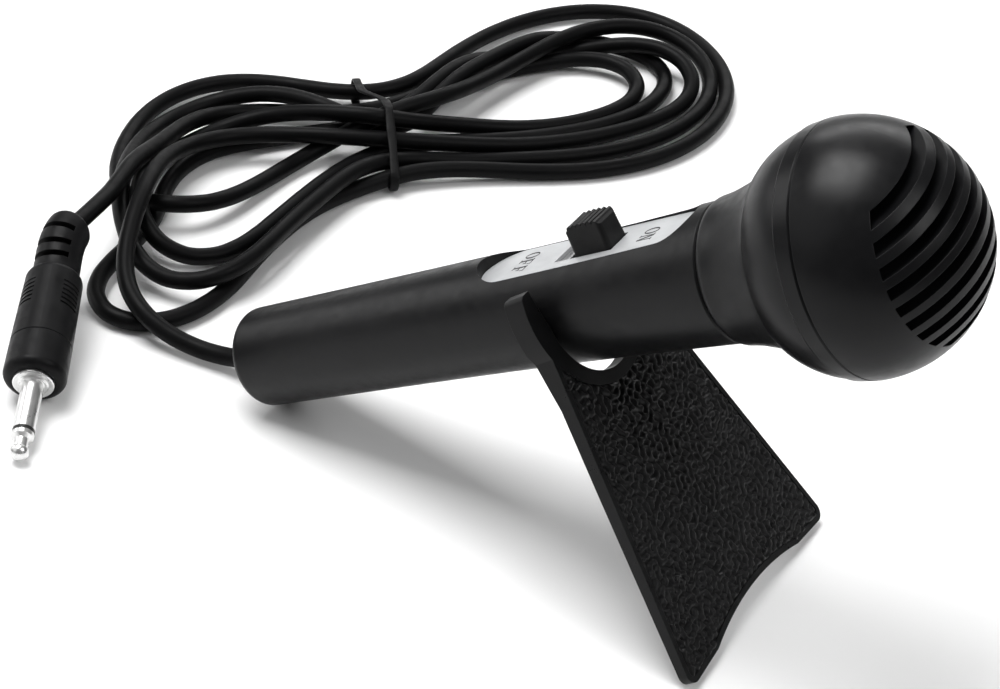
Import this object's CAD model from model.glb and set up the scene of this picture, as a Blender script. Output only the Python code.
"""A handheld microphone on a flat stand leg, with its lead coiled and tied beside it.

The floor is z = 0. The handle slopes up towards +X; its own axes are AXIS (tail to head),
LEFT (+Y) and UP. Shapes are set out in millimetres, lights and camera in metres.
"""
import math
import random

import bpy
import numpy as np
from mathutils import Matrix, Vector, noise


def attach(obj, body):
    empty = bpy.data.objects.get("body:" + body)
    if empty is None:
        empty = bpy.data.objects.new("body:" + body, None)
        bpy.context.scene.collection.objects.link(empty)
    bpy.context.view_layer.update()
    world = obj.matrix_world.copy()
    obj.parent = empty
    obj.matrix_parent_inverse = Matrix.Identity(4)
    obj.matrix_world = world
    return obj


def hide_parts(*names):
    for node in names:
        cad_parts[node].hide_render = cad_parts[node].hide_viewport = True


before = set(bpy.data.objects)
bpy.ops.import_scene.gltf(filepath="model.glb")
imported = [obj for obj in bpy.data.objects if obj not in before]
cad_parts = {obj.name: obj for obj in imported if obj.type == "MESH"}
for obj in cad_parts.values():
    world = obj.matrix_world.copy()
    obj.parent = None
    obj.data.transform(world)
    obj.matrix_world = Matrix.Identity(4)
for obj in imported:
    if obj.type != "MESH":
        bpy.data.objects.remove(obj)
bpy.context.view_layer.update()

random.seed(7)
ROOT = "microphone"
MM = 0.001

# ---------------------------------------------------------------- axes of the microphone
MIC_Y = -53.19
TILT_DEG = 32.70
TILT = math.radians(TILT_DEG)
AXIS = Vector((math.cos(TILT), 0, math.sin(TILT)))
UP = Vector((-math.sin(TILT), 0, math.cos(TILT)))
LEFT = Vector((0, 1, 0))
HEAD = Vector((69.03, MIC_Y, 65.26))


def spot(x, y=0.0, z=0.0):
    """A place x along the handle from HEAD, y to its left and z above its axis."""
    return HEAD + AXIS * x + LEFT * y + UP * z


# ---------------------------------------------------------------- shader helpers
def principled(material):
    material.use_nodes = True
    tree = material.node_tree
    tree.nodes.clear()
    out = tree.nodes.new("ShaderNodeOutputMaterial")
    shader = tree.nodes.new("ShaderNodeBsdfPrincipled")
    tree.links.new(shader.outputs[0], out.inputs[0])
    return tree, shader


def noise_value(tree, scale, detail=3.0, rough=0.55, stretch=None, offset=0.0):
    """Noise in object space; stretch is (rotation, scale) of the mapping."""
    coords = tree.nodes.new("ShaderNodeTexCoord")
    mapping = tree.nodes.new("ShaderNodeMapping")
    if stretch:
        mapping.inputs["Rotation"].default_value = stretch[0]
        mapping.inputs["Scale"].default_value = stretch[1]
    mapping.inputs["Location"].default_value = (offset, offset * 0.7, -offset)
    texture = tree.nodes.new("ShaderNodeTexNoise")
    texture.inputs["Scale"].default_value = scale
    texture.inputs["Detail"].default_value = detail
    texture.inputs["Roughness"].default_value = rough
    tree.links.new(coords.outputs["Object"], mapping.inputs[0])
    tree.links.new(mapping.outputs[0], texture.inputs["Vector"])
    return texture.outputs["Fac"]


def remap(tree, source, taken, given):
    """Map the range taken = (low, high) of the source onto the range given."""
    node = tree.nodes.new("ShaderNodeMapRange")
    for socket, value in zip(("From Min", "From Max", "To Min", "To Max"), (*taken, *given)):
        node.inputs[socket].default_value = value
    tree.links.new(source, node.inputs["Value"])
    return node.outputs["Result"]


BROAD_RANGE = (0.3, 0.7)      # where most of the broad noise lies
MID_RANGE = (0.35, 0.65)      # the same for the middle noise


def two_tone(tree, pattern, dark, light):
    factor = remap(tree, pattern, BROAD_RANGE, (0, 1))
    mix = tree.nodes.new("ShaderNodeMix")
    mix.data_type = "RGBA"
    tree.links.new(factor, mix.inputs[0])
    mix.inputs[6].default_value = (*dark, 1)
    mix.inputs[7].default_value = (*light, 1)
    return mix.outputs[2]


def bump_node(tree, height, strength, distance):
    node = tree.nodes.new("ShaderNodeBump")
    node.inputs["Strength"].default_value = strength
    node.inputs["Distance"].default_value = distance
    tree.links.new(height, node.inputs["Height"])
    return node


def finish(name, dark, light, rough, metallic=0.0, grain=(9000, 0.012, 0.3),
           broad=(120, 0.15), soft=0.12, sheen=0.0, stretch=None, alpha=1.0, spec=0.5):
    """A surface of two tones, uneven roughness, fine bump and softened edges.

    rough is the (low, high) roughness, grain the (noise scale, depth in mm, strength) of the
    bump, broad the (noise scale, roughness drift) and soft the edge radius in mm.
    """
    material = bpy.data.materials.new(name)
    tree, shader = principled(material)
    grain_scale, grain_depth, grain_strength = grain
    broad_scale, drift = broad
    wide = noise_value(tree, broad_scale, detail=4.0, rough=0.6)
    fine = noise_value(tree, grain_scale, detail=2.5, rough=0.6, stretch=stretch, offset=3.1)
    middle = noise_value(tree, grain_scale * 0.13, rough=0.6, stretch=stretch, offset=9.7)
    tree.links.new(two_tone(tree, wide, dark, light), shader.inputs["Base Color"])

    slow = remap(tree, wide, BROAD_RANGE, rough)
    total = tree.nodes.new("ShaderNodeMath")
    total.operation = "ADD"
    total.use_clamp = True
    tree.links.new(slow, total.inputs[0])
    tree.links.new(remap(tree, middle, MID_RANGE, (-drift * 0.25, drift * 0.25)),
                   total.inputs[1])
    tree.links.new(total.outputs[0], shader.inputs["Roughness"])
    for socket, value in (("Metallic", metallic), ("IOR", 1.5), ("Specular IOR Level", spec),
                          ("Coat Roughness", 0.08), ("Sheen Weight", sheen),
                          ("Sheen Roughness", 0.45), ("Alpha", alpha)):
        shader.inputs[socket].default_value = value

    fine_bump = bump_node(tree, fine, grain_strength, grain_depth * 0.001)
    mid_bump = bump_node(tree, middle, 0.35, grain_depth * 0.002)
    if soft:
        bevel = tree.nodes.new("ShaderNodeBevel")
        bevel.samples = 4
        bevel.inputs["Radius"].default_value = soft * MM
        tree.links.new(bevel.outputs[0], mid_bump.inputs["Normal"])
    tree.links.new(mid_bump.outputs[0], fine_bump.inputs["Normal"])
    tree.links.new(fine_bump.outputs[0], shader.inputs["Normal"])
    return material


# ---------------------------------------------------------------- materials, by slot
ALONG_HANDLE = ((0, TILT, 0), (0.03, 1, 1))
ACROSS_HANDLE = ((0, TILT, 0), (1, 0.04, 0.04))
PLATING = ((0.0, 0.0, 0.6), (1, 0.15, 1))
MATS = {
    "head_black": finish(
        "glossy black", dark=(0.0022, 0.0022, 0.0026), light=(0.0042, 0.0042, 0.0048),
        rough=(0.30, 0.38), grain=(4500, 0.006, 0.3), broad=(90, 0.12), soft=0.14, spec=0.17),
    "body_black": finish(
        "satin black", dark=(0.0036, 0.0036, 0.004), light=(0.0068, 0.0068, 0.0072),
        rough=(0.32, 0.40), grain=(5200, 0.02, 0.5), broad=(70, 0.2), soft=0.14, spec=0.19),
    "stand_black": finish(
        "grained black", dark=(0.0026, 0.0026, 0.0028), light=(0.005, 0.005, 0.0053),
        rough=(0.30, 0.40), grain=(4200, 0.015, 0.4), broad=(110, 0.25), soft=0.14, spec=0.17),
    "plate_silver": finish(
        "satin aluminium", dark=(0.50, 0.51, 0.52), light=(0.60, 0.61, 0.62),
        rough=(0.42, 0.5), metallic=0.55, grain=(6000, 0.0005, 0.2), broad=(160, 0.1),
        soft=0.0, stretch=ALONG_HANDLE),
    "print_black": finish(
        "printed ink", dark=(0.006, 0.006, 0.006), light=(0.015, 0.015, 0.015),
        rough=(0.5, 0.65), grain=(9000, 0.004, 0.4), broad=(900, 0.3), soft=0.0),
    "knob_black": finish(
        "knob black", dark=(0.004, 0.004, 0.0042), light=(0.007, 0.007, 0.0072),
        rough=(0.34, 0.45), grain=(6500, 0.015, 0.4), broad=(400, 0.3), soft=0.1, spec=0.16),
    "cable_black": finish(
        "soft vinyl", dark=(0.0016, 0.0016, 0.0018), light=(0.003, 0.003, 0.0032),
        rough=(0.40, 0.50), grain=(4000, 0.006, 0.3), broad=(60, 0.2), soft=0.0, spec=0.075),
    "boot_black": finish(
        "moulded vinyl", dark=(0.003, 0.003, 0.0033), light=(0.0055, 0.0055, 0.006),
        rough=(0.40, 0.50), grain=(5000, 0.015, 0.45), broad=(200, 0.3), soft=0.1, spec=0.11),
    "nickel": finish(
        "nickel plate", dark=(0.66, 0.66, 0.66), light=(0.80, 0.80, 0.79), rough=(0.26, 0.34),
        metallic=1.0, grain=(3000, 0.0005, 0.15), broad=(300, 0.1), soft=0.05,
        stretch=PLATING),
    "ring_black": finish(
        "insulator", dark=(0.008, 0.008, 0.008), light=(0.014, 0.014, 0.014),
        rough=(0.35, 0.45), spec=0.3),
    "foam": finish(
        "open foam", dark=(0.012, 0.012, 0.013), light=(0.03, 0.03, 0.032),
        rough=(0.85, 0.98), grain=(5000, 0.12, 0.9), broad=(900, 0.2), soft=0.0, sheen=0.25),
    "inner_plastic": finish(
        "inner moulding", dark=(0.10, 0.10, 0.105), light=(0.15, 0.15, 0.16), rough=(0.4, 0.5)),
    "cover_plastic": finish(
        "cover moulding", dark=(0.5, 0.5, 0.48), light=(0.62, 0.62, 0.6), rough=(0.38, 0.5)),
    "steel": finish(
        "zinc plated steel", dark=(0.42, 0.42, 0.43), light=(0.6, 0.6, 0.6),
        rough=(0.25, 0.42), metallic=1.0, grain=(4200, 0.008, 0.5), broad=(260, 0.4)),
    "ferrite": finish(
        "ferrite", dark=(0.05, 0.05, 0.055), light=(0.09, 0.09, 0.095), rough=(0.5, 0.7),
        grain=(5200, 0.03, 0.7), broad=(700, 0.3)),
    "copper": finish(
        "wound copper", dark=(0.55, 0.22, 0.09), light=(0.8, 0.38, 0.18), rough=(0.2, 0.35),
        metallic=1.0, grain=(7000, 0.03, 0.9), broad=(500, 0.2), soft=0.0,
        stretch=ACROSS_HANDLE),
    "film": finish(
        "clear film", dark=(0.6, 0.56, 0.42), light=(0.75, 0.7, 0.55), rough=(0.08, 0.2),
        broad=(400, 0.3), alpha=0.6),
    "board": finish(
        "phenolic board", dark=(0.25, 0.13, 0.05), light=(0.42, 0.26, 0.11), rough=(0.4, 0.6),
        grain=(6000, 0.02, 0.6), broad=(1100, 0.4)),
    "tinned": finish(
        "tinned", dark=(0.5, 0.5, 0.49), light=(0.72, 0.72, 0.7), rough=(0.18, 0.4),
        metallic=1.0, grain=(3500, 0.02, 0.5), broad=(700, 0.5)),
    "contact": finish(
        "spring bronze", dark=(0.55, 0.33, 0.12), light=(0.8, 0.55, 0.24), rough=(0.2, 0.35),
        metallic=1.0, grain=(4500, 0.006, 0.5), broad=(400, 0.3)),
    "rubber_plain": finish(
        "soft rubber", dark=(0.01, 0.01, 0.01), light=(0.02, 0.02, 0.02), rough=(0.6, 0.75),
        grain=(5000, 0.02, 0.6), sheen=0.1),
    "wire_red": finish(
        "red sleeve", dark=(0.35, 0.015, 0.012), light=(0.5, 0.03, 0.02), rough=(0.3, 0.45),
        soft=0.0),
    "wire_white": finish(
        "white sleeve", dark=(0.55, 0.55, 0.52), light=(0.7, 0.7, 0.66), rough=(0.3, 0.45),
        soft=0.0),
    "wire_black": finish(
        "black sleeve", dark=(0.01, 0.01, 0.01), light=(0.02, 0.02, 0.02), rough=(0.3, 0.45),
        soft=0.0),
    "tie": finish(
        "soft band", dark=(0.002, 0.002, 0.0022), light=(0.004, 0.004, 0.0042),
        rough=(0.42, 0.52), grain=(5000, 0.02, 0.6), broad=(500, 0.3), soft=0.05, spec=0.1),
}
PIECES = {      # slot: the CAD pieces it covers
    "head_black": "grille_dome head_bowl",
    "body_black": "neck_collar handle",
    "foam": "foam_disc",
    "inner_plastic": "capsule_ring capsule_basket switch_slider",
    "steel": "magnet_pot pole_piece switch_frame switch_screws",
    "ferrite": "magnet",
    "copper": "voice_coil",
    "film": "diaphragm",
    "cover_plastic": "capsule_cover",
    "board": "capsule_board switch_base",
    "tinned": "capsule_lugs switch_lugs",
    "plate_silver": "switch_plate",
    "print_black": "switch_legend",
    "knob_black": "switch_knob",
    "contact": "switch_wiper",
    "stand_black": "stand",
    "cable_black": "cable_jacket",
    "rubber_plain": "cable_stop",
    "wire_red": "wire_signal",
    "wire_white": "wire_mic",
    "wire_black": "wire_ground",
    "tie": "cable_tie",
    "boot_black": "plug_cover",
    "nickel": "plug_sleeve plug_tip",
    "ring_black": "plug_insulator",
}
SLOT_OF = {piece: slot for slot, pieces in PIECES.items() for piece in pieces.split()}
for piece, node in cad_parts.items():
    node.data.materials.clear()
    node.data.materials.append(MATS[SLOT_OF[piece]])


# ---------------------------------------------------------------- mesh helpers
def add_mesh(name, verts, faces, slot, smooth=True):
    data = bpy.data.meshes.new(name)
    data.from_pydata([tuple(vert) for vert in verts], [], faces)
    data.validate()
    data.update()
    if smooth:
        data.polygons.foreach_set("use_smooth", [True] * len(data.polygons))
    data.materials.append(MATS[slot])
    obj = bpy.data.objects.new(name, data)
    bpy.context.scene.collection.objects.link(obj)
    return obj


def stand_in(obj, piece):
    """Put obj in the place of a CAD piece of the microphone."""
    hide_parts(piece)
    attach(obj, ROOT)


def skin(rows, sides, closed=False):
    """Quads between successive rings of vertices; closed joins the last ring to the first."""
    faces = []
    for i in range(rows if closed else rows - 1):
        j = (i + 1) % rows
        for k in range(sides):
            k2 = (k + 1) % sides
            faces.append((i * sides + k, i * sides + k2, j * sides + k2, j * sides + k))
    return faces


def smooth_path(points, step):
    """Catmull-Rom through the points, resampled at about the step."""
    knots = np.array(points, float)
    padded = np.vstack([2 * knots[0] - knots[1], knots, 2 * knots[-1] - knots[-2]])
    path = []
    for i in range(1, len(padded) - 2):
        before, start, end, after = padded[i - 1:i + 3]
        count = max(1, int(round(np.linalg.norm(end - start) / step)))
        for k in range(count):
            x = k / count
            path.append(0.5 * (2 * start + (end - before) * x
                               + (2 * before - 5 * start + 4 * end - after) * x * x
                               + (3 * start - before - 3 * end + after) * x ** 3))
    path.append(knots[-1])
    return np.array(path)


WOBBLE = 0.02      # unevenness of a tube's radius


def tube(name, points, radius, slot, step, sides, seed=0.0):
    """A capped round tube along a path, with a carried frame so that it never twists."""
    path = smooth_path(points, step)
    tangents = np.gradient(path, axis=0)
    tangents /= np.linalg.norm(tangents, axis=1)[:, None]
    first = tangents[0]
    side = np.array([0, 0, 1.0]) if abs(first[2]) < 0.9 else np.array([1.0, 0, 0])
    side = side - first * side.dot(first)
    side /= np.linalg.norm(side)
    verts = []
    for i, (centre, tangent) in enumerate(zip(path, tangents)):
        side = side - tangent * side.dot(tangent)
        side /= np.linalg.norm(side)
        other = np.cross(tangent, side)
        for angle in np.arange(sides) * 2 * math.pi / sides:
            cos, sin = math.cos(angle), math.sin(angle)
            bump = noise.noise(Vector((i * step * 0.11 + seed, cos * 0.6, sin * 0.6)))
            out = side * cos + other * sin
            verts.append((centre + out * (radius + WOBBLE * bump)) * MM)
    faces = skin(len(path), sides)
    faces.append(tuple(reversed(range(sides))))
    faces.append(tuple((len(path) - 1) * sides + k for k in range(sides)))
    return add_mesh(name, verts, faces, slot)


# ---------------------------------------------------------------- lead
LEAD_RADIUS = 1.5
LEAD_START = [spot(-97.5), spot(-103.0), spot(-106.0)]      # out of the tail, on the axis
LEAD = [      # centre line from behind the tail through the coil: x, y, z
    (-22.36, -53.19, 6.59), (-26.43, -52.49, 3.78), (-31.13, -52.44, 2.26),
    (-36.03, -52.98, 2.04), (-40.89, -53.51, 2.87), (-45.62, -53.19, 4.24),
    (-50.02, -51.35, 5.51), (-53.63, -48.12, 6.55), (-56.42, -44.14, 7.56),
    (-58.71, -39.83, 8.57), (-60.71, -35.34, 9.46), (-62.52, -30.71, 10.01),
    (-64.33, -26.05, 9.84), (-66.15, -21.48, 8.86), (-67.58, -16.85, 7.61),
    (-68.24, -12.03, 6.46), (-67.68, -7.16, 5.59), (-65.70, -2.63, 5.10),
    (-62.47, 1.16, 4.99), (-58.46, 4.12, 5.20), (-54.11, 6.54, 5.58),
    (-49.70, 8.88, 5.84), (-45.41, 11.45, 5.83), (-41.36, 14.37, 5.57),
    (-37.61, 17.63, 4.97), (-34.07, 21.09, 4.24), (-30.59, 24.63, 3.53),
    (-27.05, 28.14, 2.94), (-23.54, 31.69, 2.55), (-20.15, 35.38, 2.32),
    (-16.99, 39.27, 2.20), (-14.16, 43.40, 2.08), (-11.75, 47.79, 1.91),
    (-9.76, 52.37, 1.70), (-8.12, 57.09, 1.56), (-6.93, 61.94, 1.65),
    (-6.73, 66.87, 2.17), (-8.34, 71.42, 3.18), (-12.03, 74.46, 4.26),
    (-16.86, 75.34, 4.81), (-21.75, 74.47, 4.55), (-26.26, 72.49, 3.73),
    (-30.36, 69.80, 2.73), (-34.11, 66.59, 1.89), (-37.58, 62.99, 1.56),
    (-40.61, 59.03, 1.94), (-42.94, 54.73, 2.96), (-44.44, 50.09, 4.09),
    (-45.22, 45.18, 4.76), (-45.56, 40.18, 4.80), (-45.80, 35.19, 4.40),
    (-46.36, 30.28, 3.75), (-47.95, 25.63, 2.95), (-50.54, 21.47, 2.05),
    (-53.54, 17.52, 1.56), (-56.58, 13.57, 1.57), (-59.65, 9.63, 1.62),
    (-62.63, 5.63, 1.74), (-65.30, 1.41, 1.89), (-67.35, -3.15, 2.01),
    (-68.46, -8.02, 2.02), (-68.42, -13.01, 1.91), (-67.26, -17.86, 1.73),
    (-65.32, -22.47, 1.57), (-63.46, -27.10, 1.56), (-62.38, -31.97, 1.67),
    (-61.67, -36.91, 1.92), (-61.00, -41.85, 2.16), (-59.88, -46.70, 2.24),
    (-57.44, -50.99, 2.05), (-53.20, -53.38, 1.74), (-48.39, -52.57, 1.56),
    (-44.74, -49.25, 1.56), (-42.65, -44.75, 1.56), (-41.79, -39.84, 1.56),
    (-41.82, -34.86, 1.59), (-42.31, -29.90, 1.76), (-42.84, -24.95, 1.96),
    (-43.17, -19.98, 2.10), (-43.30, -15.00, 2.11), (-43.17, -10.02, 1.99),
    (-42.51, -5.09, 1.84), (-41.18, -0.30, 1.83), (-39.19, 4.25, 2.08),
    (-36.68, 8.54, 2.51), (-33.70, 12.52, 2.73), (-30.31, 16.17, 2.64),
    (-26.61, 19.52, 2.35), (-22.74, 22.66, 2.02), (-18.80, 25.73, 1.76),
    (-14.91, 28.86, 1.62), (-11.18, 32.20, 1.56), (-7.77, 35.86, 1.56),
    (-4.79, 39.87, 1.56), (-2.34, 44.23, 1.56), (-0.50, 48.88, 1.56),
    (0.69, 53.74, 1.56), (1.20, 58.72, 1.56), (0.99, 63.72, 1.56),
    (0.07, 68.64, 1.56), (-1.57, 73.37, 1.56), (-3.97, 77.76, 1.56),
    (-7.08, 81.68, 1.57), (-10.82, 85.00, 1.61), (-15.10, 87.58, 1.70),
    (-19.83, 89.19, 1.82), (-24.79, 89.66, 1.91), (-29.73, 88.92, 1.93),
    (-34.36, 87.04, 1.86), (-38.47, 84.19, 1.76), (-41.93, 80.57, 1.65),
    (-44.69, 76.39, 1.60), (-46.79, 71.82, 1.60), (-48.28, 67.02, 1.67),
    (-49.27, 62.08, 1.81), (-49.84, 57.07, 2.01), (-50.12, 52.03, 2.24),
    (-50.24, 47.00, 2.46), (-50.52, 41.98, 2.60), (-51.49, 37.08, 2.66),
    (-53.73, 32.63, 2.60), (-57.27, 29.14, 2.48), (-61.60, 26.66, 2.37),
    (-66.21, 24.74, 2.32), (-70.82, 22.81, 2.31), (-75.18, 20.38, 2.28),
    (-79.00, 17.19, 2.19), (-81.96, 13.20, 2.01), (-83.83, 8.59, 1.80),
    (-84.52, 3.67, 1.64), (-84.19, -1.31, 1.57), (-83.03, -6.17, 1.62),
    (-81.28, -10.86, 1.79), (-79.04, -15.33, 2.07), (-76.31, -19.54, 2.40),
    (-72.98, -23.27, 2.78), (-68.83, -25.91, 3.51), (-64.06, -26.38, 4.67),
    (-59.72, -24.06, 4.73), (-56.99, -19.98, 3.99), (-55.64, -15.23, 3.16),
    (-55.03, -10.29, 2.47), (-54.69, -5.30, 1.98), (-54.27, -0.31, 1.75),
    (-53.43, 4.62, 1.95), (-51.90, 9.29, 2.83), (-49.67, 13.47, 4.40),
    (-47.09, 17.47, 5.96), (-44.64, 21.74, 6.83), (-42.45, 26.24, 7.06),
    (-40.65, 30.94, 6.83), (-39.49, 35.81, 6.25), (-38.87, 40.78, 5.54),
    (-38.29, 45.78, 5.04), (-37.57, 50.80, 4.84), (-36.68, 55.78, 4.91),
    (-35.60, 60.72, 5.11), (-34.25, 65.58, 5.28), (-32.47, 70.29, 5.40),
    (-30.02, 74.67, 5.37), (-26.71, 78.42, 5.18), (-22.50, 81.05, 4.78),
    (-17.67, 82.06, 4.13), (-12.86, 81.15, 3.32), (-8.75, 78.45, 2.54),
    (-5.75, 74.51, 1.97), (-3.88, 69.88, 1.67), (-3.01, 64.95, 1.57),
    (-3.02, 59.93, 1.56), (-3.80, 54.98, 1.56), (-5.27, 50.18, 1.56),
    (-7.36, 45.62, 1.56), (-9.98, 41.35, 1.56), (-13.05, 37.40, 1.56),
    (-16.47, 33.73, 1.56), (-20.11, 30.29, 1.56), (-23.86, 26.96, 1.57),
    (-27.61, 23.64, 1.67), (-31.29, 20.26, 2.01), (-34.74, 16.69, 2.64),
    (-37.70, 12.75, 3.47), (-39.88, 8.36, 4.32), (-41.10, 3.56, 4.90),
    (-41.56, -1.40, 5.09), (-41.66, -6.39, 5.09), (-41.60, -11.39, 5.10),
    (-41.41, -16.38, 5.19), (-41.05, -21.36, 5.30), (-40.66, -26.34, 5.36),
    (-40.71, -31.32, 5.26), (-41.90, -36.12, 4.87), (-44.84, -40.00, 4.15),
    (-49.35, -41.89, 3.66), (-54.26, -41.42, 3.90), (-58.69, -39.27, 4.67),
    (-62.56, -36.20, 5.49), (-66.02, -32.60, 6.10), (-69.02, -28.57, 6.43),
    (-71.64, -24.27, 6.24), (-73.99, -19.89, 5.43), (-76.14, -15.45, 4.37),
    (-78.02, -10.92, 3.29), (-79.39, -6.19, 2.37), (-79.87, -1.25, 1.83),
    (-79.17, 3.67, 1.83), (-77.17, 8.18, 2.41), (-73.97, 11.84, 3.38),
    (-69.85, 14.40, 4.45), (-65.17, 15.87, 5.26), (-60.26, 16.58, 5.61),
    (-55.33, 17.08, 5.33), (-50.61, 18.18, 4.29), (-46.49, 20.62, 3.15),
    (-43.71, 24.64, 3.11), (-42.82, 29.42, 3.94), (-42.66, 34.30, 4.94),
    (-42.44, 39.25, 5.57), (-42.09, 44.25, 5.67), (-41.50, 49.24, 5.50),
    (-40.72, 54.21, 5.32), (-39.76, 59.15, 5.08), (-38.43, 63.96, 4.54),
    (-36.31, 68.39, 3.54), (-33.19, 72.15, 2.51), (-29.10, 74.92, 1.89),
    (-24.32, 76.25, 1.63), (-19.40, 75.66, 1.56), (-15.26, 72.97, 1.57),
    (-12.68, 68.73, 1.58), (-11.69, 63.85, 1.61), (-11.83, 58.84, 1.67),
    (-12.85, 53.94, 1.75), (-14.66, 49.26, 1.81), (-17.07, 44.87, 1.82),
    (-19.92, 40.75, 1.80), (-23.10, 36.88, 1.78), (-26.49, 33.19, 1.83),
    (-29.97, 29.60, 1.98), (-33.48, 26.05, 2.25), (-36.94, 22.46, 2.53),
    (-40.10, 18.61, 2.65), (-42.74, 14.39, 2.51), (-44.64, 9.81, 2.22),
    (-45.82, 4.99, 1.91), (-46.41, 0.06, 1.69), (-46.61, -4.92, 1.58),
    (-46.59, -9.91, 1.56), (-46.51, -14.90, 1.56), (-46.50, -19.89, 1.56),
    (-47.05, -24.85, 1.56), (-48.80, -29.49, 1.62), (-52.17, -33.04, 2.24),
    (-56.67, -34.28, 3.76), (-60.98, -32.83, 5.67), (-64.46, -29.56, 7.10),
    (-67.10, -25.34, 7.21), (-69.02, -20.88, 5.88), (-70.67, -16.38, 4.33),
    (-72.02, -11.72, 2.99), (-72.72, -6.86, 2.02), (-72.40, -1.91, 1.58),
    (-70.83, 2.79, 1.93), (-67.97, 6.70, 2.99), (-64.08, 9.43, 4.42),
    (-59.62, 11.08, 5.88), (-54.93, 12.17, 7.18), (-50.19, 13.41, 8.10),
    (-45.72, 15.56, 8.24), (-42.04, 18.78, 7.37), (-39.03, 22.55, 6.08),
    (-36.23, 26.48, 4.76), (-33.27, 30.34, 3.58), (-30.05, 34.06, 2.61),
    (-26.70, 37.73, 1.97), (-23.44, 41.53, 1.65), (-20.47, 45.56, 1.56),
    (-17.97, 49.89, 1.56), (-16.07, 54.50, 1.59), (-15.18, 59.38, 1.81),
    (-16.34, 64.13, 2.29), (-20.02, 67.29, 2.78), (-24.91, 67.71, 2.89),
    (-29.51, 65.90, 2.59), (-33.37, 62.79, 2.12), (-36.62, 59.02, 1.75),
    (-39.43, 54.90, 1.58), (-41.89, 50.55, 1.56), (-44.15, 46.10, 1.56),
    (-46.12, 41.51, 1.67), (-47.64, 36.77, 1.94), (-48.92, 31.98, 2.29),
    (-50.68, 27.35, 2.51), (-53.58, 23.35, 2.44), (-57.46, 20.27, 2.18),
    (-61.71, 17.71, 1.95), (-65.86, 14.98, 1.87), (-69.53, 11.64, 2.09),
    (-72.32, 7.58, 2.66), (-73.90, 2.95, 3.46), (-74.21, -1.94, 4.30),
    (-73.59, -6.80, 5.16), (-72.57, -11.56, 6.23), (-71.47, -16.24, 7.53),
    (-70.38, -20.90, 8.86), (-69.13, -25.60, 9.79), (-67.68, -30.30, 10.15),
    (-66.32, -35.03, 10.47), (-65.19, -39.77, 11.11), (-63.23, -49.86, 12.25),
]
stand_in(tube("lead", LEAD_START + LEAD, LEAD_RADIUS, "cable_black", step=0.8,
              sides=28), "cable_jacket")

# ---------------------------------------------------------------- wires inside the handle
WIRE_RADIUS = 0.38
PLATE_X, PLATE_Z = -44.0, 7.36      # origin of the switch's own axes, in handle axes
PLATE_TILT = math.radians(TILT_DEG + 1.49)
SWITCH_X = -41.3 - PLATE_X
LUG_Z = -8.3


def lug(x):
    """The wire end on a switch lug, x along the switch's own axes."""
    cos, sin = math.cos(PLATE_TILT), math.sin(PLATE_TILT)
    return spot(PLATE_X, 0, PLATE_Z) + Vector((cos, 0, sin)) * x + Vector((-sin, 0, cos)) * LUG_Z


def head_end(y):
    """The last bends of a wire, down to the capsule."""
    return [spot(-10.5, y, -4.5), spot(-8.5, y, -5.9), spot(-7.4, y, -7.1), spot(-6.2, y, -7.7)]


for piece, slot, points in (
    ("wire_signal", "wire_red",
     [spot(-97.2, 0, 0.7), spot(-88, 0.8, 2.2), spot(-70, 1.6, 1.0), spot(-58, 1.8, -2.2),
      spot(-49.5, 0.9, -2.6), lug(SWITCH_X - 4.6)]),
    ("wire_mic", "wire_white",
     [lug(SWITCH_X), spot(-36, 2.0, -2.6), spot(-28, 2.4, -3.2), spot(-18, 2.0, -4.4),
      *head_end(2.0)]),
    ("wire_ground", "wire_black",
     [spot(-97.2, 0, -0.7), spot(-88, -0.8, -2.2), spot(-70, -1.8, -3.6),
      spot(-45, -2.0, -4.4), spot(-28, -2.0, -4.4), *head_end(-2.0)]),
):
    stand_in(tube(piece + "_core", points, WIRE_RADIUS, slot, step=0.6, sides=10,
                  seed=len(piece)), piece)

# ---------------------------------------------------------------- split stop on the lead
STOP_X = -105.9
STOP_BORE, STOP_GROOVE, STOP_EDGE, STOP_RIB = 1.56, 2.45, 2.75, 2.9
STOP_FROM, STOP_SWEEP, STOP_SECTIONS = 102, 336, 48      # degrees, degrees, count
STOP_PROFILE = [      # x from STOP_X, radius
    (0.0, STOP_BORE), (0.0, STOP_EDGE), (0.15, STOP_RIB), (0.9, STOP_RIB),
    (1.05, STOP_GROOVE), (1.35, STOP_GROOVE), (1.5, STOP_RIB), (2.25, STOP_RIB),
    (2.4, STOP_GROOVE), (2.7, STOP_GROOVE), (2.85, STOP_RIB), (3.45, STOP_RIB),
    (3.6, STOP_EDGE), (3.6, STOP_BORE),
]


def lead_stop():
    verts = []
    for i in range(STOP_SECTIONS):
        angle = math.radians(STOP_FROM) + i * math.radians(STOP_SWEEP) / (STOP_SECTIONS - 1)
        for x, radius in STOP_PROFILE:
            verts.append(spot(STOP_X + x, radius * math.cos(angle), radius * math.sin(angle)) * MM)
    sides = len(STOP_PROFILE)
    faces = skin(STOP_SECTIONS, sides)
    faces.append(tuple(range(sides)))
    faces.append(tuple(reversed(range((STOP_SECTIONS - 1) * sides, STOP_SECTIONS * sides))))
    return add_mesh("lead_stop", verts, faces, "rubber_plain", smooth=False)


stand_in(lead_stop(), "cable_stop")

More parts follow.
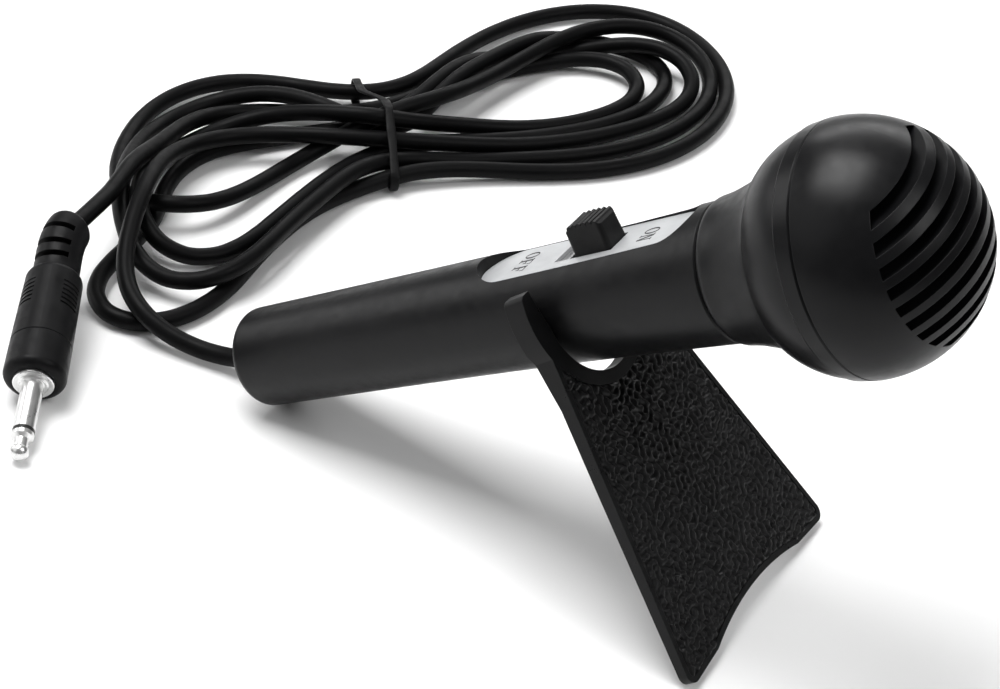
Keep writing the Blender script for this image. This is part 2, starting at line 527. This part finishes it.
# ---------------------------------------------------------------- tie round the coil
TIE_CENTRE = Vector((-44.4706, 18.1453, 3.5))
TIE_ACROSS = Vector((0.6202, -0.7845, 0.0))      # level, across the strands
TIE_ALONG = Vector((-0.7845, -0.6202, 0.0))      # level, along the strands
TIE_UP = TIE_ALONG.cross(TIE_ACROSS)
STRANDS = [      # strands the tie goes round: across, up
    (-6.95, -1.12), (12.69, -1.06), (-16.87, -0.92), (-16.65, -0.95), (9.58, 0.50), (1.30, 4.49),
]
TIE_REACH = 2.09                               # from a strand's centre to the band's
TIE_HALF_THICK, TIE_HALF_WIDE = 0.24, 0.78
TIE_STATIONS = 260


def hull(points):
    """The convex outline of points in a plane, anticlockwise."""
    ordered = sorted(set(points))

    def chain(sequence):
        kept = []
        for x, y in sequence:
            while len(kept) > 1:
                (x0, y0), (x1, y1) = kept[-2:]
                if (x1 - x0) * (y - y0) - (y1 - y0) * (x - x0) > 0:
                    break
                kept.pop()
            kept.append((x, y))
        return kept[:-1]
    return chain(ordered) + chain(reversed(ordered))


def rounded(size, value):
    """One coordinate of a rounded rectangle, from a sine or cosine."""
    return size * math.copysign(abs(value) ** 0.6, value)


def coil_band():
    ring = hull([(x + TIE_REACH * math.cos(angle), y + TIE_REACH * math.sin(angle))
                 for x, y in STRANDS for angle in [k * math.pi / 24 for k in range(48)]])
    loop = np.array(ring + [ring[0]])
    lengths = np.r_[0, np.cumsum(np.linalg.norm(np.diff(loop, axis=0), axis=1))]
    run = np.linspace(0, lengths[-1], TIE_STATIONS, endpoint=False)
    x, y = np.interp(run, lengths, loop[:, 0]), np.interp(run, lengths, loop[:, 1])
    step_x, step_y = np.roll(x, -1) - np.roll(x, 1), np.roll(y, -1) - np.roll(y, 1)
    span = np.hypot(step_x, step_y)
    out_x, out_y = step_y / span, -step_x / span
    section = [(rounded(TIE_HALF_THICK, math.cos(angle)), rounded(TIE_HALF_WIDE, math.sin(angle)))
               for angle in [k * math.pi / 10 for k in range(20)]]
    verts = []
    for i in range(TIE_STATIONS):
        # The band slides along the strands towards its far -x end.
        far = max(0.0, min(1.0, (-2.0 - x[i]) / 9.0))
        slide = (0.22 * noise.noise(Vector((run[i] * 0.12, 1.3, 0)))
                 + 3.4 * far * far * (3 - 2 * far))
        for thick, wide in section:
            rib = 0.035 * math.cos(run[i] * 9.0 + wide * 3.0) if thick > 0.1 else 0.0
            point = (TIE_CENTRE + TIE_ACROSS * (x[i] + out_x[i] * (thick + rib))
                     + TIE_UP * (y[i] + out_y[i] * (thick + rib))
                     + TIE_ALONG * (wide * (1 + 0.06 * math.sin(run[i] * 0.7)) + slide))
            verts.append(point * MM)
    return add_mesh("coil_band", verts, skin(TIE_STATIONS, len(section), closed=True), "tie")


stand_in(coil_band(), "cable_tie")

# ---------------------------------------------------------------- foam behind the grille
FOAM_X, FOAM_RADIUS, FOAM_HALF, FOAM_EDGE = 6.0, 10.35, 0.8, 0.6
FOAM_RINGS, FOAM_AROUND = 46, 128


def foam_pad():
    """Two rough discs, head side then tail side, curving together at the rim."""
    verts, faces = [], []
    for front in (1, 0):
        sign = 1 if front else -1
        for i in range(FOAM_RINGS + 1):
            radius = FOAM_RADIUS * (i / FOAM_RINGS) ** 0.9
            edge = max(0.0, 1 - (FOAM_RADIUS - radius) / FOAM_EDGE)
            swell = FOAM_HALF * math.sqrt(max(0.0, 1 - edge ** 2)) * sign
            for j in range(FOAM_AROUND):
                angle = j * 2 * math.pi / FOAM_AROUND + (0.5 * i) * math.pi / FOAM_AROUND
                y, z = radius * math.cos(angle), radius * math.sin(angle)
                pores = (noise.noise(Vector((y * 2.3, z * 2.3, front * 9)))
                         + 0.7 * noise.noise(Vector((y * 5.1, z * 5.1, front * 4 + 2))))
                verts.append(spot(FOAM_X + swell + (0.14 * pores - 0.1) * sign, y, z) * MM)
    for disc in (0, 1):
        for i in range(FOAM_RINGS):
            inner = disc * (FOAM_RINGS + 1) * FOAM_AROUND + i * FOAM_AROUND
            outer = inner + FOAM_AROUND
            for j in range(FOAM_AROUND):
                j2 = (j + 1) % FOAM_AROUND
                quad = (inner + j, outer + j, outer + j2, inner + j2)
                faces.append(quad if disc else quad[::-1])
    return add_mesh("foam_pad", verts, faces, "foam")


stand_in(foam_pad(), "foam_disc")

# ---------------------------------------------------------------- leather grain of the stand
LEAN = math.radians(8.54)
PIVOT = spot(-48.05)
STAND_UP = UP * math.cos(LEAN) - AXIS * math.sin(LEAN)
STAND_FRONT = AXIS * math.cos(LEAN) + UP * math.sin(LEAN)
STAND_FACE, STAND_LEN = 1.75, 52.57             # face ahead of the pivot, foot below it
FOOT_HALF, FLARE = 23.1, 0.216                  # half width at the foot, its loss per mm up
SHOULDER_RADIUS, SHOULDER_UP = 12.95, 0.1       # bare round the pivot
BORDER, GRAIN_TOP, GRAIN_FADE = 0.95, -2.0, 0.5
ARCH_HALF, ARCH_TOP, ARCH_FOOT = 13.9, 2.6, 0.62      # cut-out between the feet
ARCH_RADIUS = (ARCH_HALF ** 2 + (ARCH_TOP - ARCH_FOOT) ** 2) / (2 * (ARCH_TOP - ARCH_FOOT))
GRAIN_SINK, GRAIN_SKIRT = 0.18, -0.12           # base below the face, rim below the base
NOISE_SIZE, NOISE_PITCH = 512, 0.15


def band_noise(rng, frequency, centre, spread):
    """White noise kept to a band of frequencies (per mm), with unit deviation."""
    white = rng.standard_normal((NOISE_SIZE, NOISE_SIZE))
    band = np.exp(-((frequency - centre) / spread) ** 2)
    field = np.fft.ifft2(np.fft.fft2(white) * band).real
    return field / field.std()


def noise_index(places, offset):
    index = np.round((places + offset) / NOISE_PITCH).astype(int)
    return np.clip(index, 0, NOISE_SIZE - 1)


def stand_grain():
    pitch = 0.15
    columns = np.arange(-24, 24.01, pitch)
    rows = np.arange(-STAND_LEN - 0.5, -1.0, pitch)
    rng = np.random.default_rng(11)
    frequency = np.hypot(*np.meshgrid(*[np.fft.fftfreq(NOISE_SIZE, d=NOISE_PITCH)] * 2))
    picked = np.ix_(noise_index(rows, 70), noise_index(columns, 38))
    coarse = band_noise(rng, frequency, centre=0.78, spread=0.22)[picked]
    fine = band_noise(rng, frequency, centre=2.3, spread=0.6)[picked]
    relief = 0.36 * np.clip((coarse + 0.55) / 0.9, 0, 1) ** 0.8 + 0.012 * fine

    # Distance inside the grained panel, from its nearest border.
    across, up = np.meshgrid(columns, rows)
    half_width = FOOT_HALF - FLARE * (up + STAND_LEN)
    inside = np.minimum(half_width - BORDER - np.abs(across), up + STAND_LEN - BORDER)
    inside = np.minimum(inside, GRAIN_TOP - up)
    inside = np.minimum(inside, np.hypot(across, up - SHOULDER_UP) - SHOULDER_RADIUS)
    arch = np.hypot(across, up + STAND_LEN - ARCH_TOP - BORDER + ARCH_RADIUS) - ARCH_RADIUS
    inside = np.minimum(inside, np.where(np.abs(across) < ARCH_HALF, arch, 9.0))
    fade = np.clip(inside / GRAIN_FADE, 0, 1)
    height = np.where(inside > 0, relief * (0.25 + 0.75 * fade) + 0.01, GRAIN_SKIRT)

    kept = inside > -pitch * 1.5
    index = -np.ones(kept.shape, int)
    index[kept] = np.arange(kept.sum())
    ahead = STAND_FACE - GRAIN_SINK + height[kept]
    verts = (np.array(PIVOT)[None] + across[kept][:, None] * np.array(LEFT)[None]
             + up[kept][:, None] * np.array(STAND_UP)[None]
             + ahead[:, None] * np.array(STAND_FRONT)[None]) * MM
    corners = np.stack([index[:-1, :-1], index[:-1, 1:], index[1:, 1:], index[1:, :-1]], -1)
    quads = corners[(corners >= 0).all(-1)]
    return add_mesh("stand_grain", verts.tolist(), quads.tolist(), "stand_black")


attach(stand_grain(), "stand_leg")

# ---------------------------------------------------------------- floor, world, lights, camera
STUDIO = Vector((0.03006, MIC_Y * MM, 0.0))      # middle of the lights and camera
SOFTBOXES = [      # name, place, aim, width, height (m), power (W)
    ("top_box", (-0.33, 0.04, 0.83), (0.0, 0.02, 0.02), 0.55, 0.5, 8.5),
    ("back_strip", (-0.30, 0.80, 0.42), (0.0, 0.0, 0.03), 0.8, 0.25, 2.6),
    ("key_box", (0.55, 0.02, 0.62), (0.03, 0.0, 0.04), 0.45, 0.45, 2.2),
    ("fill_box", (-0.5, -0.6, 0.5), (-0.02, 0.0, 0.02), 0.8, 0.6, 1.2),
    ("tail_box", (-0.80, -0.05, 0.30), (0.0, 0.0, 0.05), 0.5, 0.3, 1.3),
]
CAMERA_PLACE = Vector((0.11981, -0.27147, 0.24921))
CAMERA_TURN = Matrix(((0.86626, -0.35428, 0.35226),
                      (0.49214, 0.48372, -0.72375),
                      (0.08602, 0.80031, 0.59338)))


def studio_floor():
    bpy.ops.mesh.primitive_plane_add(size=6)
    floor = bpy.context.object
    floor.name = "studio_floor"
    floor.location = (0, 0, -0.0002)
    paper = bpy.data.materials.new("paper sweep")
    tree, shader = principled(paper)
    tone = two_tone(tree, noise_value(tree, scale=6), (0.86, 0.86, 0.86), (0.9, 0.9, 0.9))
    tree.links.new(tone, shader.inputs["Base Color"])
    shader.inputs["Roughness"].default_value = 0.75
    floor.data.materials.append(paper)


def studio_world():
    """Dim light, stronger from above, behind a pale backdrop that only the camera sees."""
    world = bpy.context.scene.world or bpy.data.worlds.new("studio")
    bpy.context.scene.world = world
    world.use_nodes = True
    tree = world.node_tree
    tree.nodes.clear()
    out = tree.nodes.new("ShaderNodeOutputWorld")
    glow = tree.nodes.new("ShaderNodeBackground")
    coords = tree.nodes.new("ShaderNodeTexCoord")
    split = tree.nodes.new("ShaderNodeSeparateXYZ")
    tree.links.new(coords.outputs["Generated"], split.inputs[0])
    tree.links.new(remap(tree, split.outputs[2], (-0.1, 0.9), (0.12, 0.24)), glow.inputs[1])
    glow.inputs[0].default_value = (1, 1, 1, 1)
    backdrop = tree.nodes.new("ShaderNodeBackground")
    backdrop.inputs[1].default_value = 0.8
    rays = tree.nodes.new("ShaderNodeLightPath")
    mix = tree.nodes.new("ShaderNodeMixShader")
    tree.links.new(rays.outputs["Is Camera Ray"], mix.inputs[0])
    tree.links.new(glow.outputs[0], mix.inputs[1])
    tree.links.new(backdrop.outputs[0], mix.inputs[2])
    tree.links.new(mix.outputs[0], out.inputs[0])


def softbox(name, place, aim, width, height, power):
    light = bpy.data.lights.new(name, "AREA")
    light.shape = "RECTANGLE"
    light.size, light.size_y, light.energy = width, height, power
    obj = bpy.data.objects.new(name, light)
    bpy.context.scene.collection.objects.link(obj)
    obj.location = Vector(place) + STUDIO
    obj.rotation_euler = (Vector(aim) - Vector(place)).to_track_quat("-Z", "Y").to_euler()


def studio_camera():
    lens = bpy.data.cameras.new("photo_camera")
    lens.sensor_width = 36
    lens.lens = 91.8
    lens.clip_start = 0.01
    camera = bpy.data.objects.new("photo_camera", lens)
    bpy.context.scene.collection.objects.link(camera)
    camera.matrix_world = Matrix.Translation(CAMERA_PLACE + STUDIO) @ CAMERA_TURN.to_4x4()
    bpy.context.scene.camera = camera
    bpy.context.scene.view_settings.view_transform = "Standard"


studio_floor()
studio_world()
for row in SOFTBOXES:
    softbox(*row)
studio_camera()
